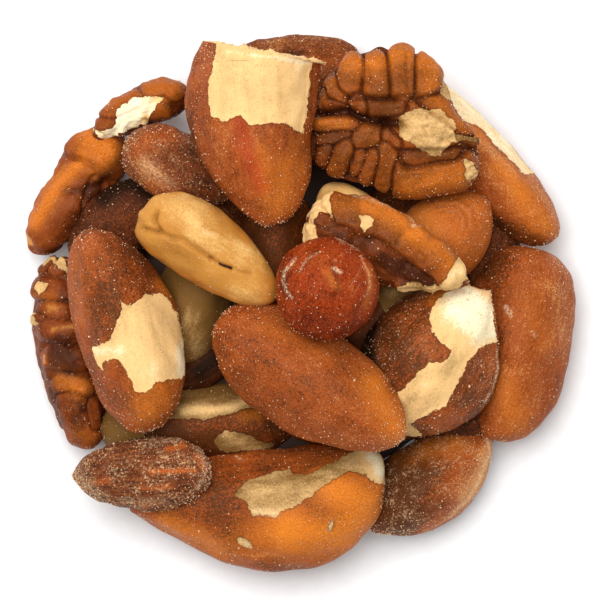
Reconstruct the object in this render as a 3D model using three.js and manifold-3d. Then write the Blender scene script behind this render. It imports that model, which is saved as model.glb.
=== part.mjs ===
// A round heap of mixed nuts: brazil nuts, almonds, hazelnuts, cashews and pieces of pecan.
// Millimetres, +Z up. The heap lies on the plane z = 0 with the origin under its middle.
//
// Every nut is a unit sphere whose points are moved. A point at c along the nut's length
// (-1 to 1) and at the angle v around it goes to
//     x = length/2 * c
//     y = width/2  * outline * section * cos v + bow * (1 - c*c)
//     z = height/2 * outline * section * sin v
// and the nut is then tilted, turned and put in its place. All the nuts are joined with a low
// round core that lies hidden under them.

import * as THREE from 'three';
import { mergeVertices } from 'three/addons/utils/BufferGeometryUtils.js';
import Module from 'manifold-3d';

const wasm = await Module();
wasm.setup();

// Driving dimensions, in millimetres and degrees.
const CORE_RADIUS = 29;
const CORE_HEIGHT = 16.5;
const CORE_RIM_HEIGHT = 3;
const CORE_SIDES = 32;

// How finely each kind is faceted, and how three-sided its section is (0 is an ellipse).
const KINDS = {
  brazil: { rows: 11, sides: 14, threeSided: 0.09 },
  almond: { rows: 10, sides: 12, threeSided: 0 },
  cashew: { rows: 10, sides: 12, threeSided: 0 },
  hazelnut: { rows: 9, sides: 14, threeSided: 0.03 },
  pecan: { rows: 11, sides: 14, threeSided: 0 },
};

// at: the middle of the nut. turn: its heading seen from above, anticlockwise from +X.
// tilt: how far its front end is raised. size: length, width and height.
// front and back: how blunt each end is (0.5 is round, more is more pointed); a pair gives
// the left and the right side. bow: how far the middle is bent to the left.
// lumps: [place along, angle around, height, spread along, spread around].
// broken: the front end is cut off at this distance from the middle, with this slope.
const NUTS = {
  // Lying on the ground, around the edge and under the others.
  brazilFarRight: { kind: 'brazil', at: [35.8, -6.6, 7.6], turn: 73.1, size: [33.2, 18.6, 14],
    front: [0.36, 0.44], back: [0.91, 0.31], bow: -0.2 },
  brazilLowerRight: { kind: 'brazil', at: [22.2, -29.7, 6.3], turn: 39.8, size: [26.1, 14.6, 12],
    front: [0.76, 0.81], back: [0.49, 0.88], bow: 0.1, lumps: [[0.54, 180, -0.14, 0.4, 70]] },
  brazilUnderLeft: { kind: 'brazil', at: [-16.8, -20.2, 6.3], turn: 3, size: [33.3, 14.5, 12] },
  brazilBottom: { kind: 'brazil', at: [-6.7, -32.3, 9.6], turn: 4.7, tilt: 5,
    size: [42.9, 20.3, 14], front: [0.25, 0.58], back: [0.25, 0.98], bow: -2.4 },
  brazilUpperRight: { kind: 'brazil', at: [27.6, 25.2, 8.8], turn: -41.7, tilt: -5,
    size: [41.7, 13.3, 13], front: [0.56, 0.38], back: [0.36, 0.54], bow: 0.1 },
  pecanLeft: { kind: 'pecan', at: [-37.8, -8.2, 5.2], turn: -80, size: [32.3, 11, 10],
    front: 0.42, back: 0.4, bow: -0.4 },
  pecanUpperLeft: { kind: 'pecan', at: [-37.35, 18.9, 4.8], turn: 56, size: [24.5, 9, 9],
    front: 0.42, back: 0.45, lumps: [[0.45, 180, 0.35, 0.3, 60], [0.5, 0, 0.25, 0.3, 50],
      [0, 90, -0.12, 0.2, 360]] },
  pecanArch: { kind: 'pecan', at: [-26.3, 31.7, 8.6], turn: 24, size: [17.8, 7.2, 8],
    front: 0.42, back: 0.6, bow: 1 },
  almondTop: { kind: 'almond', at: [-1.3, 39.1, 4.5], turn: -5.6, size: [24.1, 13.8, 8],
    front: [0.46, 0.5], back: [0.78, 0.6], bow: -0.7 },
  almondShaded: { kind: 'almond', at: [-29.8, 13.7, 7], turn: 40, size: [20, 12, 9] },
  almondGap: { kind: 'almond', at: [-15.8, -10.3, 6.5], turn: 30, size: [13, 7, 7] },
  brazilPale: { kind: 'brazil', at: [-17.3, 1, 9], turn: 75, size: [23, 13, 11] },
  brazilShaded: { kind: 'brazil', at: [-4, 9.8, 12], turn: 80, size: [20, 12, 10] },
  brazilDeep: { kind: 'brazil', at: [12.8, -2, 11], turn: 50, size: [20, 12, 9] },

  // Under the overhanging pieces, seen from the sides.
  almondUnderBroken: { kind: 'almond', at: [-11.5, 31.5, 5], turn: 20, size: [13, 10, 9] },
  brazilUnderBroken: { kind: 'brazil', at: [-8, 29, 13], turn: 95, size: [25, 13, 9] },
  hazelnutUnderPecan: { kind: 'hazelnut', at: [8.4, 28.3, 6.6], turn: 20, size: [16, 13.5, 13] },
  almondUnderAlmond: { kind: 'almond', at: [-25.5, -29.3, 4.4], turn: -30, size: [18, 10.5, 8] },

  // The second layer.
  hazelnutRight: { kind: 'hazelnut', at: [24.7, 11.7, 12.8], turn: 42, size: [17.5, 14.2, 14],
    front: 0.6, back: 0.45 },
  brazilPatched: { kind: 'brazil', at: [23.4, -9.8, 16], turn: 54.8, tilt: 6,
    size: [28.9, 22.5, 14], front: [0.67, 0.97], back: [0.61, 0.81], bow: 1.5 },
  almondUpperLeft: { kind: 'almond', at: [-19.8, 22.6, 14.5], turn: -25, size: [20, 12, 10],
    back: 0.42 },
  cashewSmall: { kind: 'cashew', at: [8.7, 14.8, 15], turn: -10, size: [12.5, 8.6, 8],
    front: [0.68, 0.16], back: [0.17, 0.46], bow: 1 },
  almondSalted: { kind: 'almond', at: [-26.3, -28.3, 12.8], turn: 182, tilt: -14,
    size: [23.8, 12.3, 8.5], front: 0.62, back: 0.42 },
  brazilLeft: { kind: 'brazil', at: [-29.7, -4.3, 17], turn: -72.5, size: [34.9, 16.9, 14],
    front: [0.48, 0.42], back: [0.56, 0.46], bow: 1.15 },

  // The top layer.
  brazilCentre: { kind: 'brazil', at: [1.9, -12.1, 21.4], turn: -33.9, tilt: 4,
    size: [36.8, 17.8, 13], front: [0.54, 0.52], back: [0.53, 0.42], bow: -0.65 },
  cashewLarge: { kind: 'cashew', at: [-15.1, 8, 21], turn: -28.6, size: [26.4, 12.9, 11],
    front: [0.74, 0.39], back: [0.27, 0.38], bow: 1.4 },
  pecanHalf: { kind: 'pecan', at: [15.9, 27.8, 18.4], turn: -12.3, size: [28.5, 23.2, 9],
    front: [0.58, 0.39], back: [0.39, 0.36], bow: 2.85,
    lumps: [[0.78, 0, -0.49, 0.3, 60], [0.39, 180, 0.04, 0.3, 60]] },
  pecanCentre: { kind: 'pecan', at: [14.7, 8.5, 22.5], turn: -20.8, size: [29.3, 13, 10],
    front: [0.63, 0.87], back: [0.3, 0.49], bow: 0.4 },
  brazilBroken: { kind: 'brazil', at: [-6.2, 32.9, 23.4], turn: 92.2, size: [39.8, 22.5, 14],
    front: [0.78, 0.1], back: [0.8, 0.36], bow: 1, lumps: [[-0.06, 180, -0.08, 0.45, 60]],
    broken: [9.13, 0.225] },
  hazelnutTop: { kind: 'hazelnut', at: [4.6, 2.5, 27.6], turn: 60, size: [17.2, 17.2, 16] },
};

const nutBrown = new THREE.MeshStandardMaterial({ color: 0xa55f2d, roughness: 0.6, metalness: 0 });

// Half width of the outline at c, 1 where it is widest.
function outline(c, front, back) {
  const widest = (back - front) / (back + front);
  const unscaled = (at) => (1 - at) ** front * (1 + at) ** back;
  return unscaled(c) / unscaled(widest);
}

function bothSides(value) {
  return Array.isArray(value) ? value : [value, value];
}

// Outline at the angle v, blended from the left side's to the right side's.
function sidedOutline(c, v, front, back) {
  const [frontLeft, frontRight] = bothSides(front);
  const [backLeft, backRight] = bothSides(back);
  const left = (1 + Math.cos(v)) / 2;
  return left * outline(c, frontLeft, backLeft) + (1 - left) * outline(c, frontRight, backRight);
}

// How far the section stands out at c and v, from its three sides and its lumps.
function section(c, v, threeSided, lumps) {
  const upright = Math.PI / 2;
  const lumpAt = ([along, around, height, spreadAlong, spreadAround]) => {
    const away = v - THREE.MathUtils.degToRad(around);
    const turn = Math.atan2(Math.sin(away), Math.cos(away));
    const reach = ((c - along) / spreadAlong) ** 2
      + (turn / THREE.MathUtils.degToRad(spreadAround)) ** 2;
    return 1 + height * Math.exp(-reach);
  };
  const corners = 1 + threeSided * Math.cos(3 * (v - upright));
  return lumps.map(lumpAt).reduce((all, one) => all * one, corners);
}

function nutGeometry({ kind, size, front = 0.5, back = 0.5, bow = 0, lumps = [], broken }) {
  const { rows, sides, threeSided } = KINDS[kind];
  const [length, width, height] = size;
  const geometry = closedGeometry(new THREE.SphereGeometry(1, sides, rows));
  const points = geometry.getAttribute('position');
  for (let i = 0; i < points.count; i += 1) {
    const c = THREE.MathUtils.clamp(points.getY(i), -1, 1);
    const v = Math.atan2(points.getX(i), points.getZ(i));
    const reach = sidedOutline(c, v, front, back) * section(c, v, threeSided, lumps) / 2;
    const y = width * reach * Math.cos(v) + bow * (1 - c * c);
    const z = height * reach * Math.sin(v);
    const end = broken ? broken[0] + broken[1] * y : Infinity;
    points.setXYZ(i, Math.min(length / 2 * c, end), y, z);
  }
  return geometry;
}

function placed(geometry, { at, turn, tilt = 0 }) {
  const angles = [0, -tilt, turn].map(THREE.MathUtils.degToRad);
  geometry.applyMatrix4(new THREE.Matrix4().makeRotationFromEuler(new THREE.Euler(...angles, 'ZYX')));
  return geometry.translate(...at);
}

function coreGeometry() {
  const profile = [new THREE.Vector2(0, 0), new THREE.Vector2(CORE_RADIUS, 0)];
  const steps = 6;
  for (let i = 0; i < steps; i += 1) {
    const angle = i / steps * Math.PI / 2;
    const rise = (CORE_HEIGHT - CORE_RIM_HEIGHT) * Math.sin(angle);
    profile.push(new THREE.Vector2(CORE_RADIUS * Math.cos(angle), CORE_RIM_HEIGHT + rise));
  }
  profile.push(new THREE.Vector2(0, CORE_HEIGHT));
  return closedGeometry(new THREE.LatheGeometry(profile, CORE_SIDES).rotateX(Math.PI / 2));
}

function closedGeometry(geometry) {
  geometry.deleteAttribute('normal');
  geometry.deleteAttribute('uv');
  return mergeVertices(geometry);
}

function solid(geometry) {
  const vertProperties = Float32Array.from(geometry.getAttribute('position').array);
  const triVerts = Uint32Array.from(geometry.index.array);
  return new wasm.Manifold(new wasm.Mesh({ numProp: 3, vertProperties, triVerts }));
}

function joined(solids) {
  const { vertProperties, triVerts } = solids.reduce((all, one) => all.add(one)).getMesh();
  const geometry = new THREE.BufferGeometry();
  geometry.setAttribute('position', new THREE.BufferAttribute(vertProperties, 3));
  geometry.setIndex(new THREE.BufferAttribute(triVerts, 1));
  geometry.computeVertexNormals();
  return geometry;
}

const nuts = Object.values(NUTS).map((nut) => solid(placed(nutGeometry(nut), nut)));

const heap = new THREE.Mesh(joined([solid(coreGeometry()), ...nuts]), nutBrown);
heap.name = 'nut_heap';

const object = new THREE.Group();
object.add(heap);

export default object;
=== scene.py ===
"""A round heap of roasted, salted mixed nuts on a pale floor, seen from straight above.

Every nut is a closed surface worked out from two parameters, c along the nut and v around it.
Its skin, grooves and peeled patches are then laid on in plan, as they are seen from above.
"""

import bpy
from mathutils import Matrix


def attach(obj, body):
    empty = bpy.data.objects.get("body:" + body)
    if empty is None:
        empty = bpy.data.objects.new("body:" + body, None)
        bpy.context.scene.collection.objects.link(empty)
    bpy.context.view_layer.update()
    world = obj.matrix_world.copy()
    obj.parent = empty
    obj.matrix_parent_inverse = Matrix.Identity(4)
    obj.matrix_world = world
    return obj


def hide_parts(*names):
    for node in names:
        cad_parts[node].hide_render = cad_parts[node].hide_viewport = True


bl_info = {
    "name": "Heap of mixed nuts",
    "version": (1, 0, 0),
    "blender": (4, 5, 0),
    "location": "3D View > Sidebar > Mixed nuts",
    "description": "Builds a heap of roasted, salted mixed nuts and the stage under it",
    "category": "Add Mesh",
}

from functools import reduce

import bpy
import numpy as np

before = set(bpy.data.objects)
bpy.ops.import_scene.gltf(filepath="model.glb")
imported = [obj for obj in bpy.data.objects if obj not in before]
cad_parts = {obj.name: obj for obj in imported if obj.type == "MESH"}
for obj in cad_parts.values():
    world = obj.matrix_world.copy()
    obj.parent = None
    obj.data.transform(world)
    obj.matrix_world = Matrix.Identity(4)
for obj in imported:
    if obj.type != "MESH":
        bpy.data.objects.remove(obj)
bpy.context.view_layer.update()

NODE = "nut_heap"
MM = 0.001

# The heap in plan: six pixels to a millimetre, and the pixel that lies over the origin.
PIXELS_PER_MM = 6.0
ORIGIN_PIXEL = np.array([299.0, 304.0])


def plan(*pixels):
    """Pixels of the view from above as millimetres: x to the right, y up the view."""
    return (np.array(pixels, float) - ORIGIN_PIXEL) * (1, -1) / PIXELS_PER_MM


def seen(red, green, blue):
    """A colour as it is seen, from 0 to 255, as the light that Blender reckons with."""
    part = np.array([red, green, blue]) / 255
    light = np.where(part <= 0.04045, part / 12.92, ((part + 0.055) / 1.055) ** 2.4)
    return tuple(float(value) for value in light)


# ---------------------------------------------------------------------------------------------
# The nuts. Millimetres and degrees.
#
# at, turn, tilt, size: the middle, the heading from +X, how far the front end is raised, and
# length, width and height. front, back: how pointed each end is; a pair is left and right side.
# bow: how far the middle bends to the left. lumps: place along, angle around, height and spreads.
# broken: the front end is cut off this far from the middle, at this slope.
#
# Laid on in plan, each as (width in mm, amount, the pixels of a line): relief raises or sinks
# the surface in mm, ribs are blocks raised in mm, and the crack marks darken it with painted
# shade, in narrow slits and as the shadow in the gaps between nuts. stain lightens or darkens it,
# with real stains and also with painted shade and painted highlights, glow turns it orange, red
# turns it red, and dust lays salt on it, and in places painted highlights. peel holds the outlines
# of patches where the skin is gone; a bare nut has no skin at all.
#
# For the whole nut: tone is how light the skin is, flesh how light its peeled patches are, warm
# how orange it is, salt how salty, fibre how streaky, and grooved how deep its grooves are. The
# nuts that lie in shade in the gaps, such as brazil_shaded, almond_shaded, brazil_pale and
# brazil_under_left, have their tone, and where they are peeled their flesh, set dark as painted
# shade, and cashew_small has its tone set light as painted light against the shadow over it. sunk
# is how far the ground between the ribs lies down in mm, dark how dark the painted shade on that
# ground is, tops how orange the ribs' tops are, crumbs the roughness of peeled patches in mm, and
# step the distance between its points in mm.

NUTS = {
    "brazil_far_right": dict(
        kind="brazil", at=(35.8, -6.6, 7.6), turn=73.1, size=(33.2, 18.6, 14), front=(0.36, 0.44),
        back=(0.91, 0.31), bow=-0.2, tone=-0.05, salt=0.8,
        glow=[(2.4, 0.4, (505, 385), (518, 425)), (2.4, 0.15, (530, 300), (545, 340))],
        stain_and_shading=[(2.6, 0.3, (545, 265), (563, 300), (560, 340)), (2.5, -0.3, (505, 262), (500, 290)),
            (1.8, -0.8, (486, 272), (500, 258)), (1.2, -0.3, (497, 300), (502, 345), (490, 395)),
            (1.2, -0.4, (482, 408), (484, 434))],
        dust_and_highlights=[(0.45, 1.0, (505, 307), (511, 315)), (0.3, 0.8, (532, 332), (536, 336))]),
    "brazil_lower_right": dict(
        kind="brazil", at=(22.2, -29.7, 6.3), turn=39.8, size=(26.1, 14.6, 12), front=(0.76, 0.81),
        back=(0.49, 0.88), bow=0.1,
        lumps=[(0.54, 180, -0.14, 0.4, 70)],
        tone=-0.95, flesh=0.2, salt=2.8,
        peel=[((360, 540), (368, 536), (378, 536), (391, 533), (392, 548), (360, 548))],
        stain_and_shading=[(1.5, 1.3, (494, 440), (476, 490), (455, 515), (425, 530)),
            (3.6, 1.2, (450, 440), (475, 455), (462, 490)), (4.5, -0.5, (395, 470), (405, 505)),
            (1.6, -0.6, (385, 455), (388, 520))],
        glow=[(2.4, 0.45, (425, 442), (455, 440)), (2.0, 0.2, (400, 455), (420, 450))],
        dust_and_highlights=[(0.35, 1.0, (488, 436), (491, 452), (478, 480), (468, 500), (450, 518))]),
    "brazil_under_left": dict(
        # Its tone and flesh are set dark as painted shade from the nuts over it.
        kind="brazil", at=(-16.8, -20.2, 6.3), turn=3, size=(33.3, 14.5, 12), tone=-1.1, flesh=-1.0,
        salt=0.5,
        peel=[((95, 380), (300, 380), (300, 402), (251, 409), (240, 411), (229, 415), (219, 416),
            (203, 421), (195, 419), (172, 419), (158, 425), (143, 436), (128, 450), (95, 460)),
            ((213, 440), (226, 430), (251, 435), (258, 440), (275, 443), (272, 448), (240, 452),
            (219, 452))],
        stain_and_shading=[(5.0, -0.4, (110, 430), (140, 440)), (2.8, -0.6, (190, 375), (250, 380)),
            (0.9, 0.75, (185, 412), (215, 410), (250, 402)), (1.0, 0.4, (225, 434), (240, 443)),
            (1.5, -0.3, (160, 430), (205, 440))],
        glow=[(1.2, 0.4, (245, 416), (262, 412))]),
    "brazil_bottom": dict(
        kind="brazil", at=(-6.7, -32.3, 9.6), turn=4.7, tilt=5, size=(42.9, 20.3, 14), front=(0.25, 0.58),
        back=(0.25, 0.98), bow=-2.4, tone=-0.2, flesh=-0.65, salt=0.8,
        peel=[((237, 490), (250, 480), (276, 471), (290, 470), (294, 475), (312, 473), (337, 461),
            (354, 452), (380, 450), (392, 462), (392, 484), (376, 483), (366, 475), (349, 471),
            (333, 480), (319, 490), (306, 499), (295, 507), (281, 511), (276, 518), (266, 514),
            (252, 516), (249, 506), (242, 499), (233, 499)),
            ((236, 538), (242, 537), (251, 543), (253, 548), (246, 549), (239, 544)),
            ((328, 530), (331, 519), (333, 519), (332, 528), (329, 534))],
        glow=[(3.6, 0.95, (335, 490), (368, 505), (340, 535), (290, 535)),
            (1.8, 0.6, (165, 522), (220, 550)), (3.0, 0.4, (290, 520), (250, 540))],
        stain_and_shading=[(5.0, -0.8, (165, 485), (215, 500)), (2.0, -0.4, (260, 468), (330, 462)),
            (1.6, -0.2, (240, 568), (300, 566)), (0.8, 0.3, (250, 509), (278, 513)),
            (1.9, 1.3, (372, 458), (384, 474)), (1.5, -0.15, (285, 480), (320, 480)),
            (0.35, 0.5, (235, 552), (282, 555)), (1.4, 0.3, (150, 520), (185, 545)),
            (1.6, -0.15, (295, 492), (300, 478))],
        dust_and_highlights=[(0.18, 0.9, (236, 456), (243, 460)), (0.7, 0.8, (255, 511), (276, 513)),
            (0.3, 0.8, (328, 531), (332, 519)), (0.4, 0.8, (240, 541), (250, 547))]),
    "brazil_upper_right": dict(
        kind="brazil", at=(27.6, 25.2, 8.8), turn=-41.7, tilt=-5, size=(41.7, 13.3, 13),
        front=(0.56, 0.38), back=(0.36, 0.54), bow=0.1, tone=0.15, flesh=0.5, salt=0.8,
        peel=[((443, 97), (451, 103), (460, 116), (468, 122), (476, 124), (487, 133), (494, 142),
            (506, 152), (515, 162), (522, 172), (526, 175), (535, 173), (560, 160), (520, 110), (460, 60),
            (436, 64))],
        glow=[(2.5, 0.45, (525, 205), (545, 225)), (1.6, 0.6, (470, 128), (480, 140)),
            (1.8, 0.6, (500, 165), (520, 190))],
        stain_and_shading=[(2.0, -0.4, (500, 225), (530, 240)), (2.6, -0.2, (490, 190), (500, 215)),
            (1.6, 0.2, (540, 190), (552, 215)), (0.9, 0.4, (486, 142), (512, 170)),
            (1.4, -0.8, (496, 226), (545, 243))]),
    "brazil_pale": dict(
        # Its flesh is set dark as painted shade, for it lies in shade.
        kind="brazil", at=(-17.3, 1, 9), turn=75, size=(23, 13, 11), bare=True, flesh=-1.25, salt=0.1,
        fibre=0.0,
        # The crack stroke paints the shadow of the gap over part of it.
        crack_and_gap_shade=[(2.0, 1.3, (160, 262), (185, 276), (210, 290))],
        stain_and_shading=[(2.6, -0.6, (165, 275), (200, 275)), (2.0, 0.35, (192, 320), (196, 350))]),
    "brazil_shaded": dict(
        # Its tone is set dark as painted shade.
        kind="brazil", at=(-4, 9.8, 12), turn=80, size=(20, 12, 10), tone=-1.0, salt=0.1),
    "brazil_deep": dict(
        kind="brazil", at=(12.8, -2, 11), turn=50, size=(20, 12, 9), tone=-0.5, flesh=-0.9, salt=0.2,
        peel=[((375, 280), (420, 280), (415, 300), (398, 306), (385, 312), (378, 300))],
        stain_and_shading=[(2.0, -0.4, (382, 300), (408, 295)), (0.8, 0.5, (388, 294), (404, 288))],
        # The crack stroke paints the shadow of the dark gap beside it.
        crack_and_gap_shade=[(3.0, 1.5, (340, 345), (368, 340), (395, 312))]),
    "brazil_patched": dict(
        kind="brazil", at=(23.4, -9.8, 16), turn=54.8, tilt=6, size=(28.9, 22.5, 14), front=(0.67, 0.97),
        back=(0.61, 0.81), bow=1.5, tone=-0.8, flesh=-0.3, salt=1.9, fibre=0.5,
        peel=[((451, 291), (476, 283), (488, 289), (492, 302), (494, 322), (500, 342), (486, 345),
            (478, 349), (467, 363), (459, 380), (451, 395), (444, 408), (432, 411), (420, 417),
            (412, 423), (422, 435), (404, 444), (392, 420), (398, 392), (409, 383), (420, 370),
            (432, 361), (444, 363), (451, 351), (441, 342), (432, 332), (428, 316), (435, 302),
            (444, 294))],
        stain_and_shading=[(4.0, 1.1, (455, 305), (485, 328)), (1.3, 0.5, (425, 385), (436, 378)),
            (1.6, -0.2, (403, 425), (415, 400)), (1.6, -0.25, (440, 375), (455, 362)),
            # The second stroke here lightens the lower end as painted light against the shade that falls
            # there.
            (2.4, 0.35, (450, 400), (480, 365)), (2.2, 0.45, (430, 426), (455, 418)),
            (1.4, 0.5, (470, 292), (490, 310)), (1.5, 0.2, (438, 360), (425, 345))],
        glow=[(1.0, 0.5, (432, 300), (448, 292))],
        # The crack strokes paint the shadow of the gaps beside its left side.
        crack_and_gap_shade=[(2.1, 2.4, (362, 332), (368, 366)), (1.3, 1.4, (382, 302), (370, 330))],
        dust_and_highlights=[(0.22, 0.9, (498, 348), (497, 366), (492, 387), (483, 402))]),
    "brazil_left": dict(
        kind="brazil", at=(-29.7, -4.3, 17), turn=-72.5, size=(34.9, 16.9, 14), front=(0.48, 0.42),
        back=(0.56, 0.46), bow=1.15, tone=-0.35, flesh=-0.05, salt=1.1,
        peel=[((121, 299), (126, 305), (136, 303), (146, 294), (159, 293), (167, 299), (175, 312),
            (183, 333), (186, 355), (184, 377), (167, 380), (153, 383), (151, 388), (142, 393),
            (136, 391), (131, 381), (126, 371), (121, 363), (117, 358), (104, 361), (106, 371), (99, 365),
            (92, 347), (102, 344), (111, 340), (117, 321), (123, 308))],
        stain_and_shading=[(3.2, -0.5, (118, 255), (112, 290), (104, 325)), (0.9, 0.5, (98, 350), (118, 349)),
            (1.4, 0.3, (84, 250), (96, 244)), (0.5, -0.5, (100, 282), (104, 288)),
            (1.4, -0.35, (140, 258), (152, 276)), (1.3, 0.25, (80, 300), (88, 345)),
            (1.2, 0.6, (181, 345), (180, 375)), (2.4, -0.15, (150, 305), (165, 345)),
            (2.4, 0.35, (130, 350), (150, 370))],
        glow=[(3.0, 0.45, (148, 408), (160, 392)), (1.6, 0.15, (75, 260), (82, 320)),
            (1.0, 0.4, (160, 282), (168, 295))]),
    "brazil_centre": dict(
        kind="brazil", at=(1.9, -12.1, 21.4), turn=-33.9, tilt=4, size=(36.8, 17.8, 13),
        front=(0.54, 0.52), back=(0.53, 0.42), bow=-0.65, tone=-0.15, salt=1.2,
        glow=[(2.6, 0.6, (372, 385), (402, 435)), (1.6, 0.15, (262, 325), (330, 352))],
        stain_and_shading=[(2.6, -0.2, (225, 345), (245, 385), (290, 420)), (3.0, -0.1, (250, 350), (330, 400))]),
    "brazil_broken": dict(
        kind="brazil", at=(-6.2, 32.9, 23.4), turn=92.2, size=(39.8, 22.5, 14), front=(0.78, 0.1),
        back=(0.8, 0.36), bow=1,
        lumps=[(-0.06, 180, -0.08, 0.45, 60)],
        broken=(9.13, 0.225), tone=-0.25, flesh=-0.1, salt=0.9,
        peel=[((219, 30), (214, 57), (213, 73), (208, 90), (210, 108), (213, 117), (224, 122), (230, 120),
            (240, 117), (249, 126), (262, 126), (274, 124), (286, 125), (296, 131), (303, 134),
            (306, 113), (310, 90), (313, 64), (315, 40))],
        stain_and_shading=[(1.6, 0.25, (300, 70), (298, 120)), (1.2, -0.15, (228, 60), (222, 110)),
            (0.5, 0.5, (225, 52), (312, 64)), (1.6, -0.2, (200, 90), (196, 150)),
            (0.8, -0.35, (312, 80), (306, 180)), (2.6, 0.25, (225, 140), (240, 180)),
            (0.4, -0.15, (245, 56), (250, 116)), (0.5, -0.1, (278, 62), (282, 118)),
            (1.0, -0.4, (190, 95), (192, 150), (225, 200)), (1.0, 0.3, (252, 128), (258, 142))],
        glow=[(1.3, 0.35, (262, 150), (266, 195)), (2.6, 0.4, (285, 170), (280, 205)),
            (1.2, 0.2, (296, 140), (300, 170))],
        red=[(1.4, 0.45, (241, 120), (246, 150), (257, 174), (262, 188))]),
    "brazil_under_broken": dict(
        kind="brazil", at=(-8, 29, 13), turn=95, size=(25, 13, 9), tone=-0.4, salt=0.3),
    "brazil_under_centre": dict(
        kind="brazil", at=(-1, -14.5, 7.5), turn=-30, size=(26, 13.5, 11), tone=-0.5, salt=0.2),
    "pecan_left": dict(
        kind="pecan", at=(-37.8, -8.2, 5.2), turn=-80, size=(32.3, 11, 10), front=0.42, back=0.4,
        bow=-0.4, tone=-0.3, flesh=-0.4, salt=0.3, sunk=0.35, ground_shade=0.7, crumbs=0.05,
        ribs=[(0.9, 1.0, (36, 268), (52, 262)), (1.1, 0.8, (54, 268), (66, 264)),
            (1.7, 0.9, (36, 288), (64, 292)), (1.4, 0.8, (44, 309), (66, 311)),
            (0.8, 1.0, (32, 319), (38, 318)), (1.8, 0.9, (46, 330), (72, 332)),
            (1.8, 0.8, (52, 356), (80, 360)), (1.5, 0.8, (60, 384), (86, 388)),
            (2.5, 1.0, (72, 404), (84, 434)), (1.2, 0.5, (92, 408), (94, 425))],
        peel=[((27, 276), (34, 265), (46, 258), (54, 260), (60, 259), (67, 264), (66, 272), (61, 270),
            (52, 263), (42, 268), (34, 275)), ((37, 290), (42, 282), (49, 283), (47, 291), (40, 296)),
            ((29, 318), (34, 312), (38, 318), (36, 326), (30, 324))],
        dust_and_highlights=[(0.4, 0.9, (30, 273), (42, 264))],
        # The crack stroke paints the shade in a deep crease.
        crack_and_gap_shade=[(1.7, 0.9, (62, 342), (68, 368))],
        stain_and_shading=[(0.7, 1.0, (54, 330), (70, 327)), (0.4, 1.2, (45, 356), (47, 362)),
            (0.9, 0.8, (50, 309), (62, 308)), (1.9, -1.4, (60, 346), (66, 370)),
            (0.5, -1.2, (80, 402), (82, 408)), (0.5, -0.6, (42, 300), (68, 301)),
            (0.5, -0.6, (70, 392), (90, 396)), (1.0, -0.5, (50, 382), (58, 420)),
            (2.2, -0.35, (70, 402), (84, 430))],
        glow=[(1.7, 0.75, (62, 378), (80, 388)), (1.4, 0.3, (78, 432), (88, 436)),
            (1.0, 0.4, (42, 296), (52, 300))]),
    "pecan_upper_left": dict(
        kind="pecan", at=(-37.35, 18.9, 4.8), turn=56, size=(24.5, 9, 9), front=0.42, back=0.45,
        lumps=[(0.45, 180, 0.35, 0.3, 60), (0.5, 0, 0.25, 0.3, 50), (0, 90, -0.12, 0.2, 360)],
        tone=-0.05, salt=0.25, sunk=0.5, ground_shade=0.5,
        ribs=[(4.6, 1.2, (84, 142), (106, 150)), (5.0, 1.2, (76, 178), (50, 228)),
            (1.8, 1.0, (94, 182), (86, 206))],
        relief=[(0.7, -0.4, (66, 192), (84, 189), (98, 184)), (0.6, -0.2, (64, 196), (58, 222)),
            (0.5, -0.3, (68, 162), (80, 158))],
        stain_and_shading=[(1.1, -0.9, (66, 192), (82, 190), (98, 184)), (1.6, -0.5, (78, 206), (62, 244)),
            (1.4, -0.8, (94, 196), (80, 230)), (1.0, -0.9, (46, 250), (66, 252)),
            (0.5, 1.4, (29, 236), (32, 242)), (1.2, -0.9, (112, 160), (104, 178)),
            (1.6, -0.3, (82, 140), (90, 134)), (0.7, -0.6, (68, 160), (78, 158))],
        # The crack strokes paint the shade in its creases.
        crack_and_gap_shade=[(0.9, 1.1, (90, 190), (102, 180)), (1.0, 0.7, (96, 200), (84, 228))],
        glow=[(2.2, 1.0, (90, 140), (108, 150)), (1.3, 1.0, (82, 160), (60, 184), (36, 222)),
            (1.4, 0.5, (100, 160), (96, 172))]),
    "pecan_arch": dict(
        kind="pecan", at=(-26.3, 31.7, 8.6), turn=24, size=(17.8, 7.2, 8), front=0.42, back=0.6, bow=1,
        tone=-0.2, flesh=0.35, salt=0.2, sunk=0.2, ground_shade=0.6, crumbs=0.05,
        ribs=[(1.8, 0.7, (152, 90), (174, 90)), (1.3, 0.6, (106, 112), (136, 98)),
            (1.4, 0.5, (162, 102), (162, 116)), (1.3, 0.5, (104, 124), (118, 134))],
        peel=[((92, 128), (100, 131), (113, 128), (117, 118), (119, 110), (132, 99), (151, 96), (165, 97),
            (158, 104), (153, 111), (146, 124), (134, 130), (119, 132), (122, 140), (114, 141),
            (100, 138))],
        stain_and_shading=[(0.5, -1.4, (146, 119), (150, 122)), (2.0, 0.5, (140, 105), (110, 132)),
            (1.2, -0.4, (168, 104), (178, 98))],
        glow=[(2.0, 0.5, (150, 88), (172, 90)), (1.2, 0.4, (110, 105), (130, 96)),
            (1.0, 0.4, (156, 106), (164, 112))]),
    "pecan_half": dict(
        kind="pecan", at=(15.9, 27.8, 18.4), turn=-12.3, size=(28.5, 23.2, 9), front=(0.58, 0.39),
        back=(0.39, 0.36), bow=2.85,
        lumps=[(0.78, 0, -0.49, 0.3, 60), (0.39, 180, 0.04, 0.3, 60)],
        step=0.23, tone=-0.62, flesh=-0.5, salt=0.3, sunk=0.9, tops=0.25, crumbs=0.12,
        ribs=[(1.5, 1.4, (327, 80), (336, 91), (343, 98)), (1.1, 0.9, (320, 92), (318, 106)),
            (1.1, 1.0, (325, 106), (342, 107)), (2.0, 1.9, (354, 66), (346, 88)),
            (2.2, 2.2, (375, 66), (378, 91)), (2.2, 2.4, (401, 59), (402, 92)),
            (2.3, 2.1, (428, 64), (427, 92)), (1.4, 1.2, (353, 101), (364, 107)),
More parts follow.
